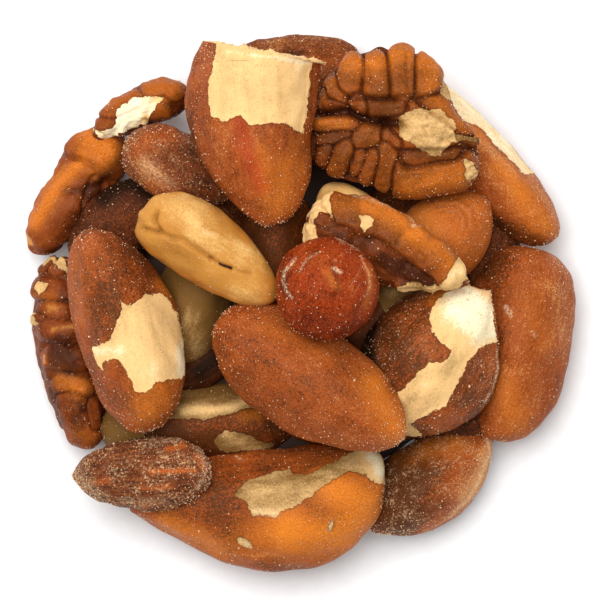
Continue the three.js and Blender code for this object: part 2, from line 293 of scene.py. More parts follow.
            (1.7, 1.2, (372, 106), (400, 110)), (2.4, 1.2, (430, 101), (466, 130)),
            (1.4, 1.4, (318, 124), (351, 126)), (1.2, 1.1, (322, 141), (347, 135)),
            (1.3, 1.1, (325, 150), (321, 163)), (1.7, 1.6, (346, 146), (335, 170)),
            (1.1, 1.2, (361, 154), (356, 170)), (1.4, 1.4, (373, 157), (366, 177)),
            (1.8, 1.7, (388, 149), (385, 182)), (2.0, 1.8, (360, 139), (374, 134)),
            (1.5, 1.2, (386, 135), (395, 143)), (3.4, 2.2, (405, 178), (457, 169)),
            (2.3, 1.2, (412, 162), (452, 155)), (4.4, 2.0, (414, 126), (440, 138)),
            (0.9, 1.6, (458, 138), (473, 142))],
        relief=[(0.7, -1.6, (311, 114), (330, 112), (346, 110), (358, 117), (372, 122), (398, 124)),
            (0.8, -0.6, (381, 123), (397, 124)), (0.45, -0.7, (346, 98), (372, 99), (410, 98)),
            (0.25, -0.3, (405, 62), (407, 90)), (0.4, -0.2, (368, 70), (371, 90)),
            (0.5, -0.2, (406, 168), (420, 178)), (0.4, -0.5, (420, 128), (436, 131)),
            (0.4, -0.3, (412, 140), (430, 148))],
        peel=[((399, 120), (405, 112), (415, 110), (437, 110), (445, 115), (453, 122), (457, 134),
            (472, 139), (472, 143), (458, 141), (450, 143), (445, 150), (440, 157), (431, 156),
            (419, 150), (409, 141), (399, 137)), ((441, 66), (446, 72), (452, 100), (443, 98), (440, 84)),
            ((461, 159), (468, 159), (474, 170), (466, 182), (462, 176))],
        stain_and_shading=[(0.6, 1.0, (372, 66), (378, 70)), (3.0, -0.25, (330, 140), (380, 160)),
            (1.4, -0.35, (372, 106), (395, 110)), (0.8, -0.7, (460, 139), (474, 142)),
            (1.2, -0.4, (404, 152), (450, 158)), (0.5, 0.8, (434, 62), (440, 66)),
            (0.7, 0.6, (398, 184), (410, 190)), (1.0, 0.5, (442, 172), (460, 168)),
            (1.2, -0.8, (380, 124), (398, 124))],
        glow=[(1.6, 0.5, (350, 66), (376, 66), (401, 58), (430, 64)), (1.5, 0.35, (432, 76), (428, 90)),
            (0.9, 0.45, (320, 123), (346, 124)), (1.2, 0.3, (330, 84), (322, 100)),
            (1.8, 0.4, (410, 184), (456, 174)), (1.5, 0.35, (436, 104), (462, 124))]),
    "pecan_centre": dict(
        kind="pecan", at=(14.7, 8.5, 22.5), turn=-20.8, size=(29.3, 13, 10), front=(0.63, 0.87),
        back=(0.3, 0.49), bow=0.4, tone=-0.5, flesh=-0.35, salt=0.3, sunk=0.5, ground_shade=0.4, tops=0.12,
        crumbs=0.05,
        ribs=[(2.8, 1.6, (338, 211), (356, 212), (384, 224), (410, 241), (428, 254), (448, 272)),
            (1.7, 0.7, (321, 218), (328, 224)), (1.5, 0.6, (322, 233), (342, 236)),
            (1.3, 1.2, (309, 232), (311, 240)), (1.6, 0.35, (376, 248), (396, 266)),
            (1.1, 0.5, (408, 272), (428, 282)), (0.7, 0.9, (398, 286), (436, 289))],
        relief=[(0.35, -0.4, (410, 229), (398, 236), (395, 246)), (0.5, -0.4, (455, 276), (464, 284)),
            (0.35, -0.3, (358, 200), (360, 218)), (0.35, -0.2, (382, 214), (376, 232)),
            (0.35, -0.2, (428, 240), (416, 256))],
        peel=[((306, 222), (309, 208), (320, 198), (333, 198), (331, 206), (334, 222), (328, 213),
            (320, 213), (314, 222), (317, 230), (317, 243), (306, 244), (302, 236), (304, 226)),
            ((359, 218), (366, 219), (373, 222), (371, 228), (364, 234), (360, 228)), ((452, 262),
            (458, 258), (470, 272), (468, 284), (456, 288), (436, 292), (424, 292), (398, 290),
            (398, 284), (412, 281), (424, 285), (437, 284), (444, 276))],
        stain_and_shading=[(1.6, -0.7, (384, 262), (424, 280)), (1.0, -0.5, (342, 238), (370, 240)),
            (0.7, -0.4, (352, 203), (356, 220)), (1.2, 0.7, (444, 275), (462, 272)),
            (1.2, 0.5, (312, 208), (330, 202))],
        glow=[(1.8, 0.8, (366, 208), (392, 220), (408, 234)), (1.7, 0.65, (416, 236), (450, 264)),
            (1.4, 0.3, (338, 208), (350, 208)), (0.5, 0.9, (456, 280), (462, 282))],
        # The crack strokes paint the shade in its recess.
        crack_and_gap_shade=[(0.25, 0.6, (398, 236), (395, 247)), (0.8, 0.3, (372, 250), (386, 266), (404, 280))],
        dust_and_highlights=[(0.4, 0.6, (352, 200), (400, 216), (412, 226)), (0.3, 0.8, (410, 229), (420, 228))]),
    "almond_top": dict(
        kind="almond", at=(-1.3, 39.1, 4.5), turn=-5.6, size=(24.1, 13.8, 8), front=(0.46, 0.5),
        back=(0.78, 0.6), bow=-0.7, tone=0.0, salt=1.4, fibre=0.4, grooved=0.4,
        relief=[(0.6, -0.4, (288, 52), (302, 54)), (0.6, -0.3, (318, 50), (330, 56))],
        stain_and_shading=[(0.7, -0.8, (288, 52), (302, 54)), (1.2, 0.4, (262, 46), (280, 42))],
        glow=[(1.6, 0.3, (310, 58), (345, 62))]),
    "almond_shaded": dict(
        kind="almond", at=(-29.8, 13.7, 7), turn=40, size=(20, 12, 9), tone=-0.75, salt=0.7, fibre=0.4,
        grooved=0.3,
        # The crack stroke paints the deep shadow of the gap it lies in.
        crack_and_gap_shade=[(2.6, 1.9, (104, 198), (128, 180), (150, 190))]),
    "almond_gap": dict(
        kind="almond", at=(-15.8, -10.3, 6.5), turn=30, size=(13, 7, 7), tone=-1.1, salt=0.2,
        # The crack stroke paints the shadow of the gap it lies in.
        crack_and_gap_shade=[(2.0, 1.8, (200, 372), (222, 352))]),
    "almond_under_broken": dict(
        kind="almond", at=(-11.5, 31.5, 5), turn=20, size=(13, 10, 9), tone=-0.1, salt=0.6),
    "almond_under_almond": dict(
        kind="almond", at=(-25.5, -29.3, 4.4), turn=-30, size=(18, 10.5, 8), tone=0.1, salt=0.8),
    "almond_upper_left": dict(
        kind="almond", at=(-19.8, 22.6, 14.5), turn=-25, size=(20, 12, 10), back=0.42, tone=-0.1,
        salt=2.2, fibre=0.3, grooved=0.3,
        # The dust stroke and the first stain stroke paint a highlight through the middle; the second
        # stain stroke is painted shade on the right side.
        dust_and_highlights=[(1.5, 0.45, (146, 164), (162, 178), (172, 186))],
        stain_and_shading=[(2.0, 0.7, (148, 166), (172, 184)), (2.4, -0.7, (190, 160), (205, 190)),
            (1.5, 0.3, (135, 150), (140, 175)), (2.0, -0.2, (170, 140), (195, 150))],
        glow=[(1.6, 0.35, (138, 150), (150, 138), (170, 135)), (1.2, 0.3, (150, 185), (170, 193))]),
    "almond_salted": dict(
        kind="almond", at=(-26.3, -28.3, 12.8), turn=182, tilt=-14, size=(23.8, 12.3, 8.5), front=0.62,
        back=0.42, tone=-0.25, salt=3.6,
        glow=[(0.35, 0.9, (150, 472), (195, 470)), (0.45, 0.7, (168, 449), (184, 446)),
            (0.6, 0.7, (198, 458), (205, 468)), (0.4, 0.6, (140, 488), (170, 486)),
            (0.6, 0.4, (98, 482), (108, 480))],
        dust_and_highlights=[(1.4, 0.5, (74, 470), (84, 484), (100, 496)), (0.9, 0.45, (120, 500), (165, 502)),
            (0.6, 0.6, (196, 446), (207, 466), (198, 488)), (0.5, 0.4, (150, 441), (185, 440))]),
    "almond_under_centre": dict(
        kind="almond", at=(13, 12, 6.5), turn=30, size=(22, 12.5, 9), tone=-0.2, salt=0.4),
    "almond_under_patched": dict(
        kind="almond", at=(21.5, -12.5, 4.8), turn=62, size=(22, 12.5, 8.5), tone=0, salt=0.4),
    "almond_under_left": dict(
        kind="almond", at=(-29, -2, 5), turn=-72, size=(22, 11, 9), tone=0, salt=0.4),
    "almond_under_upper": dict(
        kind="almond", at=(-16, 17, 5.5), turn=-40, size=(22, 12.5, 9), tone=-0.2, salt=0.4),
    "cashew_small": dict(
        kind="cashew", at=(8.7, 14.8, 15), turn=-10, size=(12.5, 8.6, 8), front=(0.68, 0.16),
        # Its tone is set light as painted light against the shadow of pecan_half over it.
        back=(0.17, 0.46), bow=1, tone=1.0, warm=0.12, salt=0.15,
        glow=[(1.2, 0.3, (322, 198), (332, 190), (345, 186), (365, 194))]),
    "cashew_large": dict(
        kind="cashew", at=(-15.1, 8, 21), turn=-28.6, size=(26.4, 12.9, 11), front=(0.74, 0.39),
        back=(0.27, 0.38), bow=1.4, tone=0.0, salt=0.15,
        relief=[(0.5, -0.6, (144, 230), (157, 232), (171, 238), (184, 240), (196, 248), (211, 259)),
            (0.3, -0.7, (211, 259), (220, 264), (232, 269)),
            (0.35, -0.35, (232, 269), (240, 272), (252, 274)), (1.0, 0.6, (138, 211), (146, 217)),
            (0.5, -0.6, (157, 213), (154, 221), (160, 231)), (2.8, 0.5, (175, 212), (205, 228)),
            (1.6, -0.35, (168, 250), (198, 260)), (2.0, 0.3, (215, 284), (250, 292))],
        # The crack strokes paint the shade in the narrow slits along its crease.
        crack_and_gap_shade=[(0.22, 2.0, (220, 265), (232, 269)), (0.14, 0.5, (208, 257), (216, 262)),
            (0.14, 0.5, (241, 272), (250, 273)), (0.2, 0.5, (157, 214), (155, 221)),
            (0.18, 0.5, (146, 230), (157, 232))],
        # The broad light strokes over its upper half are a painted highlight, and the dark one under the
        # crease is painted shade.
        stain_and_shading=[(0.6, -0.6, (157, 214), (155, 222), (161, 231)), (0.5, -0.4, (144, 230), (157, 232)),
            (0.4, -0.45, (171, 239), (184, 241), (196, 249), (211, 259)),
            (1.6, -0.3, (170, 252), (192, 258)), (2.2, 0.45, (178, 204), (192, 224)),
            (1.5, 0.25, (228, 262), (252, 264)), (0.6, 0.5, (205, 233), (216, 236)),
            (3.0, 0.45, (166, 206), (205, 222), (240, 250)), (2.2, 0.3, (240, 285), (262, 292))],
        dust_and_highlights=[(0.7, 0.5, (205, 231), (213, 236))],
        glow=[(0.9, 0.6, (146, 250), (165, 268), (192, 282), (225, 298)),
            (1.3, 0.5, (270, 280), (268, 302)), (0.8, 0.45, (212, 207), (232, 220), (250, 242)),
            (0.9, 0.25, (166, 226), (180, 232))]),
    "hazelnut_top": dict(
        kind="hazelnut", at=(4.6, 2.5, 27.6), turn=60, size=(17.2, 17.2, 16), tone=-0.35, salt=0.45,
        relief=[(0.35, -0.3, (331, 260), (334, 270), (337, 280), (338, 289), (335, 299)),
            (0.35, -0.2, (315, 288), (327, 294), (336, 296)), (0.7, 0.2, (331, 273), (335, 286)),
            (0.22, -0.1, (345, 292), (354, 279), (362, 268)),
            (0.22, -0.1, (341, 288), (350, 274), (358, 262)),
            (0.22, -0.1, (349, 298), (358, 286), (365, 275)),
            (0.4, -0.12, (300, 292), (309, 308), (328, 320)),
            (0.4, -0.1, (290, 266), (303, 251), (322, 242)),
            (0.35, -0.12, (326, 262), (310, 268), (302, 282)),
            (0.3, -0.1, (333, 258), (344, 250), (358, 250))],
        # Besides the pale arcs, the dust strokes along the top edge and the fine ones on the right paint
        # highlights.
        dust_and_highlights=[(0.3, 0.9, (296, 258), (285, 272), (283, 281), (286, 291), (291, 298)),
            (0.3, 0.6, (317, 254), (307, 259), (302, 267), (300, 272)),
            (0.3, 1.1, (336, 237), (343, 240), (352, 241)),
            (0.5, 1.5, (352, 241), (361, 247), (368, 252)),
            (0.2, 0.6, (361, 257), (364, 265), (368, 274), (369, 286), (366, 296)),
            (0.35, 1.2, (333, 268), (340, 272)), (0.2, 0.9, (334, 260), (336, 261)),
            (0.16, 0.4, (345, 293), (354, 280), (361, 268)), (0.16, 0.35, (351, 297), (359, 284))],
        # The broad light stroke on its right is a painted highlight.
        stain_and_shading=[(0.8, -0.6, (284, 272), (284, 288), (291, 298)), (0.8, -0.6, (317, 253), (304, 266)),
            (0.3, 0.8, (361, 257), (363, 265), (368, 274), (369, 290)),
            (0.3, -0.5, (331, 261), (337, 280), (338, 290)), (3.2, -0.35, (300, 326), (345, 330)),
            (2.0, 0.35, (345, 282), (358, 292)), (2.0, 0.2, (310, 262), (345, 252))],
        glow=[(0.7, 0.6, (327, 273), (336, 287)), (0.6, 0.5, (368, 268), (370, 286), (365, 306)),
            (1.5, 0.15, (308, 258), (325, 262))]),
    "hazelnut_right": dict(
        kind="hazelnut", at=(24.7, 11.7, 12.8), turn=42, size=(17.5, 14.2, 14), front=0.6, back=0.45,
        tone=0.1, warm=0.7, salt=0.5, fibre=0.5,
        relief=[(0.4, -0.2, (436, 205), (455, 204), (466, 212), (468, 226)),
            (0.35, -0.18, (442, 211), (455, 210), (461, 218)),
            (0.4, -0.18, (430, 200), (458, 197), (474, 207), (477, 226)),
            (0.3, -0.15, (448, 217), (454, 217), (456, 222))],
        stain_and_shading=[(1.6, -0.4, (470, 260), (482, 250)), (1.6, -0.4, (405, 206), (420, 214))],
        dust_and_highlights=[(0.35, 1.3, (483, 190), (489, 193), (491, 198)),
            (0.2, 0.35, (446, 212), (456, 210), (463, 218), (462, 228)),
            (0.2, 0.3, (438, 206), (456, 202), (470, 212), (470, 228))],
        glow=[(3.0, 0.35, (415, 205), (430, 230))]),
    "hazelnut_under_pecan": dict(
        kind="hazelnut", at=(8.4, 28.3, 6.6), turn=20, size=(16, 13.5, 13), tone=-0.2, salt=0.3),
    "hazelnut_under_top": dict(
        kind="hazelnut", at=(1.5, -1, 9.5), turn=20, size=(17, 15, 14), tone=-0.4, salt=0.2),
    "almond_under_right": dict(
        kind="almond", at=(30.5, 8.5, 4.4), turn=72, size=(21, 12, 8.2), tone=-0.6, salt=0.4),
    "almond_under_lower": dict(
        kind="almond", at=(27.6, -19.8, 4.3), turn=28, size=(18, 10.5, 8), tone=-0.5, salt=0.8),
}

# How far apart the points of a kind lie, how streaky its skin and how three-sided its section
# is, and its relief: pairs of wave length and height of the lumps, and the number and depth of
# the grooves along it.
KINDS = {
    "brazil": dict(step=0.43, fibre=0.25, three_sided=0.09,
                   lumps=((11, 0.16), (4.5, 0.07)), grooves=(9, 0.03)),
    "almond": dict(step=0.4, fibre=0.9, three_sided=0.0,
                   lumps=((7, 0.15), (2.4, 0.05)), grooves=(17, 0.13)),
    "cashew": dict(step=0.3, fibre=0.15, three_sided=0.0,
                   lumps=((8, 0.15), (3, 0.05)), grooves=(5, 0.02)),
    "hazelnut": dict(step=0.3, fibre=0.25, three_sided=0.03,
                     lumps=((7, 0.1), (2.6, 0.03)), grooves=(24, 0.03)),
    "pecan": dict(step=0.29, fibre=0.2, three_sided=0.0,
                  lumps=((5, 0.14), (1.8, 0.07)), grooves=(7, 0.03)),
}

# The low core under the nuts, and its lumps as wave length and height. Its dark colour is
# painted shade, seen in the gaps between the nuts.
CORE_RADIUS = 29.5
CORE_HEIGHT = 9.0
CORE_LEVEL = 0.1
CORE_LUMPS = (9, 0.6)
CORE_ROWS = 24
CORE_SIDES = 72
CORE_SEED = 3

# What is laid on in plan fades as the surface turns away from above: each pair holds two values
# of the upright part of its normal, between which marks or patches fade.
MARKS_FADE = (-0.15, 0.25)
PATCHES_FADE = (-0.1, -0.4)

# A place is counted as this far inside or outside a patch at most.
PEEL_LIMIT = 3.0

# A rib reaches this many of its widths to each side. The crease between two ribs is this wide,
# as a share of that reach, and this deep, and it takes this share of the ribs' height away.
RIB_REACH = 1.2
CREASE_WIDTH = 0.15
CREASE_DEPTH = 0.3
CREASE_LOSS = 0.5

# Wave lengths and heights: how far the grooves wander in radians, a broken end, and the wave
# length alone of the crumbs on peeled patches.
GROOVE_WANDER = (9, 0.5)
BREAK_LUMPS = (3, 0.3)
CRUMB_LENGTH = 1.1

# Painted shade: grooves deeper than this are darkened at their bottoms, and sunken marks this
# deep are wholly dark.
DARK_GROOVE = 0.05
DARK_DEPTH = 0.8

# Each nut's grain is taken this far from the last one's, so that no two have the same.
GRAIN_SHIFT = 40.0


# ---------------------------------------------------------------------------------------------
# Shapes


def outline(c, front, back):
    """Half width at c: (1 - c)^front * (1 + c)^back, divided by its largest value."""
    widest = (back - front) / (back + front)
    largest = (1 - widest) ** front * (1 + widest) ** back
    return (1 - c) ** front * (1 + c) ** back / largest


def sided_outline(c, v, front, back):
    """The outline of the left side at v = 0, of the right side at v = pi, and a blend between."""
    left = (1 + np.cos(v)) / 2
    fronts, backs = np.broadcast_to(front, 2), np.broadcast_to(back, 2)
    return left * outline(c, fronts[0], backs[0]) + (1 - left) * outline(c, fronts[1], backs[1])


def section(c, v, three_sided, lumps):
    """1 + three_sided * cos(3 (v - 90 degrees)), times 1 + a bell-shaped bump for each lump."""
    reach = 1 + three_sided * np.cos(3 * (v - np.pi / 2))
    for along, around, height, spread_along, spread_around in lumps:
        turn = np.angle(np.exp(1j * (v - np.radians(around))))
        away = ((c - along) / spread_along) ** 2 + (turn / np.radians(spread_around)) ** 2
        reach = reach * (1 + height * np.exp(-away))
    return reach


def turned(nut):
    """Rotation by the tilt about -Y and then by the turn about Z."""
    turn, tilt = np.radians(nut["turn"]), np.radians(nut.get("tilt", 0))
    about_z = np.array([[np.cos(turn), -np.sin(turn), 0], [np.sin(turn), np.cos(turn), 0], [0, 0, 1]])
    about_y = np.array([[np.cos(tilt), 0, -np.sin(tilt)], [0, 1, 0], [np.sin(tilt), 0, np.cos(tilt)]])
    return about_z @ about_y


def facing(points):
    """Unit normals of a grid of points: the step around crossed with the step along."""
    along = np.gradient(points, axis=0)
    around = np.roll(points, -1, axis=1) - np.roll(points, 1, axis=1)
    out = np.cross(around, along)
    out[0], out[-1] = out[1].mean(axis=0), out[-2].mean(axis=0)
    return out / np.maximum(np.linalg.norm(out, axis=-1, keepdims=True), 1e-12)


def waves(points, length, seed):
    """Sum of twelve sine waves in random directions, 0.6 to 1.6 times length long, of spread 1."""
    draw = np.random.default_rng(seed)
    direction = draw.normal(size=(12, 3))
    direction /= np.linalg.norm(direction, axis=1, keepdims=True)
    pitch = 2 * np.pi / (length * draw.uniform(0.6, 1.6, 12))
    phase = draw.uniform(0, 2 * np.pi, 12)
    return np.sin(points @ (direction * pitch[:, None]).T + phase).sum(axis=-1) / np.sqrt(6)


def distance(places, line):
    """Distance in plan from each place to the nearest point of an open line of points."""
    starts, ends = (line[:-1], line[1:]) if len(line) > 1 else (line, line)
    span = ends - starts
    offset = places[..., None, :] - starts
    part = np.clip((offset * span).sum(-1) / np.maximum((span ** 2).sum(-1), 1e-9), 0, 1)
    return np.linalg.norm(offset - part[..., None] * span, axis=-1).min(axis=-1)


def inside(places, corners):
    """Distance to a closed outline, positive inside it and negative outside."""
    line = np.vstack([corners, corners[:1]])
    x, y = places[..., 0, None], places[..., 1, None]
    (x1, y1), (x2, y2) = line[:-1].T, line[1:].T
    rise = np.where(y1 == y2, 1e-9, y2 - y1)
    crossed = ((y1 > y) != (y2 > y)) & (x < x1 + (x2 - x1) * (y - y1) / rise)
    return np.where(crossed.sum(-1) % 2 == 1, 1, -1) * distance(places, line)


def strokes(places, marks):
    """Sum over the marks of amount * exp(-(distance to its line / width)^2)."""
    total = np.zeros(places.shape[:-1])
    for width, amount, *pixels in marks:
        total += amount * np.exp(-(distance(places, plan(*pixels)) / width) ** 2)
    return total


def ribs(places, marks):
    """Blocks along lines: a place belongs to the line that is nearest, counted in the reach of
    the line's rib, and stands at height * sqrt(1 - a^3), where a is that count. Between two
    blocks lies a crease, 1 where both are as near, and the height is less there."""
    nearest, second = np.full(places.shape[:-1], 2.0), np.full(places.shape[:-1], 3.0)
    height = np.zeros(places.shape[:-1])
    for width, rise, *pixels in marks:
        away = distance(places, plan(*pixels)) / (RIB_REACH * width)
        second = np.minimum(second, np.maximum(nearest, away))
        height = np.where(away < nearest, rise, height)
        nearest = np.minimum(nearest, away)
    creases = np.exp(-((second - nearest) / CREASE_WIDTH) ** 2) * smooth(nearest, 1.15, 0.95)
    raised = height * np.sqrt(np.clip(1 - nearest ** 3, 0, 1))
    return raised * (1 - CREASE_LOSS * creases), creases


def smooth(value, low, high):
    """0 below low, 1 above high and 3t^2 - 2t^3 between."""
    t = np.clip((value - low) / (high - low), 0, 1)
    return t * t * (3 - 2 * t)


def nut_grid(nut):
    """Rows of c = -cos a and columns of v, spaced by the nut's own step or its kind's, with more
    rows where the nut is broken off."""
    length, width, height = nut["size"]
    step = nut.get("step", KINDS[nut["kind"]]["step"])
    rows = int((length + 0.6 * width) / step)
    sides = int(np.pi * (width + height) / 2 / step)
    c = -np.cos(np.linspace(0, np.pi, rows + 1))
    if "broken" in nut:
        end, slope = nut["broken"]
        reach = slope * width / 2
        c = np.union1d(c, 2 / length * np.arange(end - reach, end + reach, step / 4))
    v = np.linspace(0, 2 * np.pi, sides, endpoint=False)[None, :]
    return c[:, None], v


def nut_points(nut, c, v):
    """x = length/2 c; y = width/2 reach cos v + bow (1 - c^2); z = height/2 reach sin v, with
    reach = outline * section; a broken nut's x stops at its break."""
    length, width, height = nut["size"]
    three_sided = KINDS[nut["kind"]]["three_sided"]
    reach = sided_outline(c, v, nut.get("front", 0.5), nut.get("back", 0.5))
    reach = reach * section(c, v, three_sided, nut.get("lumps", ()))
    y = width / 2 * reach * np.cos(v) + nut.get("bow", 0) * (1 - c * c)
    z = height / 2 * reach * np.sin(v)
    x = length / 2 * c + 0 * v
    end, slope = nut.get("broken", (np.inf, 0))
    return np.stack([np.minimum(x, end + slope * y), y, z], axis=-1)


def peeled(nut, places, upright, on_break):
    """Distance in millimetres to the edge of the peeled patches, positive inside them."""
    peel = np.full(places.shape[:-1], PEEL_LIMIT if nut.get("bare") else -PEEL_LIMIT)
    for pixels in nut.get("peel", ()):
        patch = np.clip(inside(places, plan(*pixels)), -PEEL_LIMIT, PEEL_LIMIT)
        peel = np.maximum(peel, patch - PEEL_LIMIT * smooth(upright, *PATCHES_FADE))
    return np.where(on_break, PEEL_LIMIT, peel)


def groove_shade(marks, groove, depth):
    """Painted shade: how dark the sunken marks are, and the grooves of a nut that has deep ones."""
    between = (1 - groove / depth) * 4 * depth * (depth > DARK_GROOVE)
    return np.clip(-marks / DARK_DEPTH + between, 0, 1)


def nut_shell(name, nut, details):
    """One nut's points in millimetres with its surface values, all as arrays over its grid. The
    nodes of its material read the values by their names: bare is the stain of its flesh, with its
    painted shade and highlights, and grain is the place that the patterns are worked out from."""
    kind = KINDS[nut["kind"]]
    length = nut["size"][0]
    seed = list(NUTS).index(name)
    c, v = nut_grid(nut)
    local = nut_points(nut, c, v)
    placed = local @ turned(nut).T + nut["at"]
    normal = facing(placed)
    upward = smooth(normal[..., 2], *MARKS_FADE)
    places = placed[..., :2]

    def laid(key):
        """The nut's strokes of one key, faded where the surface turns away from above."""
        return strokes(places, nut.get(key, ())) * upward

    end, slope = nut.get("broken", (np.inf, 0))
    past_break = length / 2 * c - end - slope * local[..., 1]
    on_break = past_break > 0
    peel = peeled(nut, places, normal[..., 2], on_break)

    raised, creases = ribs(places, nut.get("ribs", ()))
    relief = strokes(places, nut.get("relief", ()))
    marks = (relief + raised - CREASE_DEPTH * creases - nut.get("sunk", 0)) * upward
    lumps = sum(size * waves(local, pitch, seed * 7 + i)
                for i, (pitch, size) in enumerate(kind["lumps"]))
    count, depth = kind["grooves"]
    depth = depth * nut.get("grooved", 1)
    wander = GROOVE_WANDER[1] * waves(local, GROOVE_WANDER[0], seed * 7 + 5)
    groove = depth * np.abs(np.sin(count / 2 * v + wander)) * outline(c, 0.5, 0.5)
    height = details.relief * (marks + lumps + groove) - details.peel_depth / MM * smooth(peel, 0, 0.5)
    crumbs = nut.get("crumbs", 0) * waves(local, CRUMB_LENGTH, seed + 50)
    height = height + crumbs * smooth(peel, -0.2, 0.3)
    break_height = BREAK_LUMPS[1] * waves(local, BREAK_LUMPS[0], seed)
    height = np.where(on_break, break_height, height) * smooth(abs(past_break), 0, 1.2)

    # Painted shade: darker in sunken marks and at the bottoms of deep grooves, and on ribbed nuts in the
    # creases and on the low ground between the ribs.
    painted_shade = groove_shade(marks, groove, depth)
    tops = 0.0
    if "ribs" in nut:
        low = 1 - smooth(raised, 0.0, 0.6)
        painted_shade = np.clip(0.8 * (creases + low) - relief, 0, 1.5) * upward * nut.get("ground_shade", 1)
        tops = nut.get("tops", 0) * smooth(raised, 0.6, 1.6) * upward
    # The stain marks: real stains, and painted shade and painted highlights.
    stain_and_shading = laid("stain_and_shading")
    return {
        "points": placed + normal * height[..., None],
        "peel": peel,
        "painted_shade": painted_shade + laid("crack_and_gap_shade"),
        "stain_and_shading": nut.get("tone", 0) + stain_and_shading,
        "bare": nut.get("flesh", 0) + stain_and_shading,
        "glow": nut.get("warm", 0) + tops + laid("glow"),
        "red": laid("red"),
        "dust_and_highlights": laid("dust_and_highlights"),
        "salt": np.full(peel.shape, float(nut.get("salt", 1))),
        "fibre": np.full(peel.shape, float(nut.get("fibre", kind["fibre"]))),
        "grain": local + GRAIN_SHIFT * seed,
    }


def shell_triangles(rows, sides):
    """Triangles of a closed shell: a pole, rows - 1 rings of sides points each, and a pole."""
    ring = np.arange(sides)
    after = (ring + 1) % sides
    first = 1 + np.arange(rows - 2)[:, None] * sides
    a, b = first + ring, first + after
    c, d = b + sides, a + sides
    walls = np.stack([np.stack([a, b, c], -1), np.stack([a, c, d], -1)]).reshape(-1, 3)
    last = 1 + (rows - 2) * sides
    far_pole = last + sides
    start = np.stack([0 * ring, 1 + after, 1 + ring], -1)
    finish = np.stack([last + ring, last + after, 0 * ring + far_pole], -1)
    return np.vstack([start, walls, finish])


def without_spare_poles(grid):
    """A grid's values as a list: the first row's mean, the rows between, and the last row's."""
    middle = grid[1:-1].reshape(-1, *grid.shape[2:])
    return np.concatenate([grid[:1].mean(axis=1), middle, grid[-1:].mean(axis=1)])


def new_piece(name, points, triangles, values, material):
    """A mesh object of points in millimetres and triangles, with its values as attributes."""
    mesh = bpy.data.meshes.new(name)
    mesh.vertices.add(len(points))
    mesh.vertices.foreach_set("co", (points * MM).astype(np.float32).ravel())
    mesh.loops.add(triangles.size)
    mesh.loops.foreach_set("vertex_index", triangles.astype(np.int32).ravel())
    mesh.polygons.add(len(triangles))
    mesh.polygons.foreach_set("loop_start", np.arange(0, triangles.size, 3, dtype=np.int32))
    mesh.polygons.foreach_set("use_smooth", np.ones(len(triangles), bool))
    for key, value in values.items():
        kind, field = ("FLOAT_VECTOR", "vector") if value.ndim == 2 else ("FLOAT", "value")
        attribute = mesh.attributes.new(key, kind, "POINT")
        attribute.data.foreach_set(field, value.astype(np.float32).ravel())
    mesh.update(calc_edges=True)
    mesh.validate()
    mesh.materials.append(material)
    piece = bpy.data.objects.new(name, mesh)
    bpy.context.scene.collection.objects.link(piece)
    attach(piece, "root")
    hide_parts(NODE)
    return piece


def add_nuts(piece_name, names, details, material):
    """All the named nuts as one mesh."""
    points, triangles, values = [], [], {}
    offset = 0
    for name in names:
        shell = nut_shell(name, NUTS[name], details)
        rows, sides = shell["peel"].shape[0] - 1, shell["peel"].shape[1]
        points.append(without_spare_poles(shell.pop("points")))
        triangles.append(shell_triangles(rows, sides) + offset)
        offset += len(points[-1])
        for key, grid in shell.items():
            values.setdefault(key, []).append(without_spare_poles(grid))
    joined = {key: np.concatenate(parts) for key, parts in values.items()}
    return new_piece(piece_name, np.vstack(points), np.vstack(triangles), joined, material)


# ---------------------------------------------------------------------------------------------
# Materials. The nuts' patterns are worked out in millimetres, so a scale of 2 repeats about
# every half millimetre.

# What the shaders of all nuts share; distances in metres.
NUT_SHADER = {
    "IOR": 1.45,
    "Specular Tint": (1.0, 0.8, 0.6, 1.0),
    "Subsurface Weight": 0.12,
    "Subsurface Radius": (1.0, 0.45, 0.2),
    "Subsurface Scale": 0.0012,
}
FLESH_ROUGHNESS = 0.6
BUMP_DISTANCE = 0.0002

# How far the skin stands over the flesh and salt over both, in bump distances.
SKIN_STEP = 1.6
SALT_STEP = 0.6


